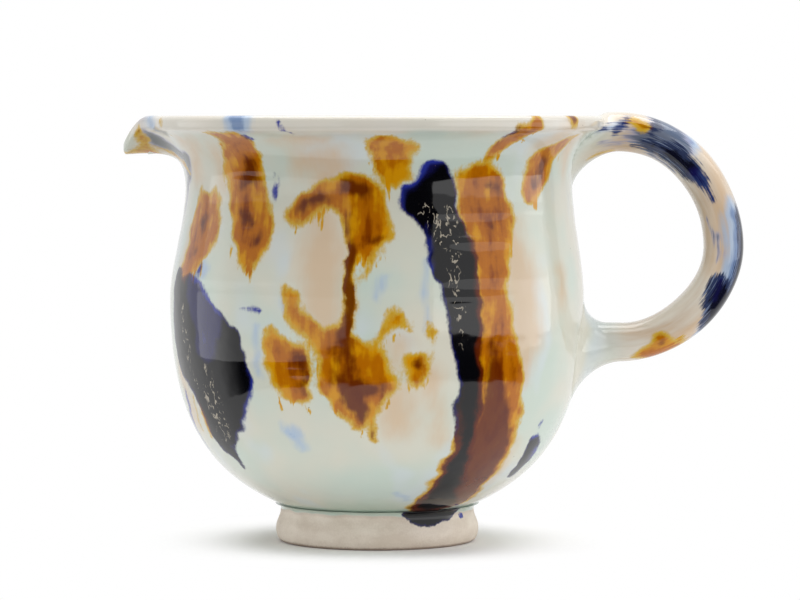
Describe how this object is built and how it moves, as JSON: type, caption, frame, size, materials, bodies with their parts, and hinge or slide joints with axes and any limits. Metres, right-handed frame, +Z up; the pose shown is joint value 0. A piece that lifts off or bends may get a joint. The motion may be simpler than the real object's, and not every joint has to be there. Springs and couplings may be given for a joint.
{
  "type": "tea pitcher",
  "caption": "Glazed ceramic tea pitcher with a round belly, flared rim, short pouring beak, loop handle and bare foot ring.",
  "frame": {"origin": "centre of the pitcher's outline on the table: midway between beak tip and handle, midway across, at the bottom of the foot", "axes": "+X from the beak towards the handle, +Z up from foot to rim"},
  "size_m": [0.1166, 0.0856, 0.0807],
  "materials": {
    "splashed_glaze": "gloss glaze, pale celadon white with iron brown and cobalt blue splashes",
    "handle_glaze": "gloss glaze, cream with cobalt blue and amber strokes",
    "bare_clay": "matt unglazed pale clay below the glaze line"
  },
  "bodies": {
    "root": {"thrown_body": "splashed_glaze", "pouring_beak": "splashed_glaze", "loop_handle": "handle_glaze", "foot_ring": "bare_clay"}
  },
  "joints": []
}
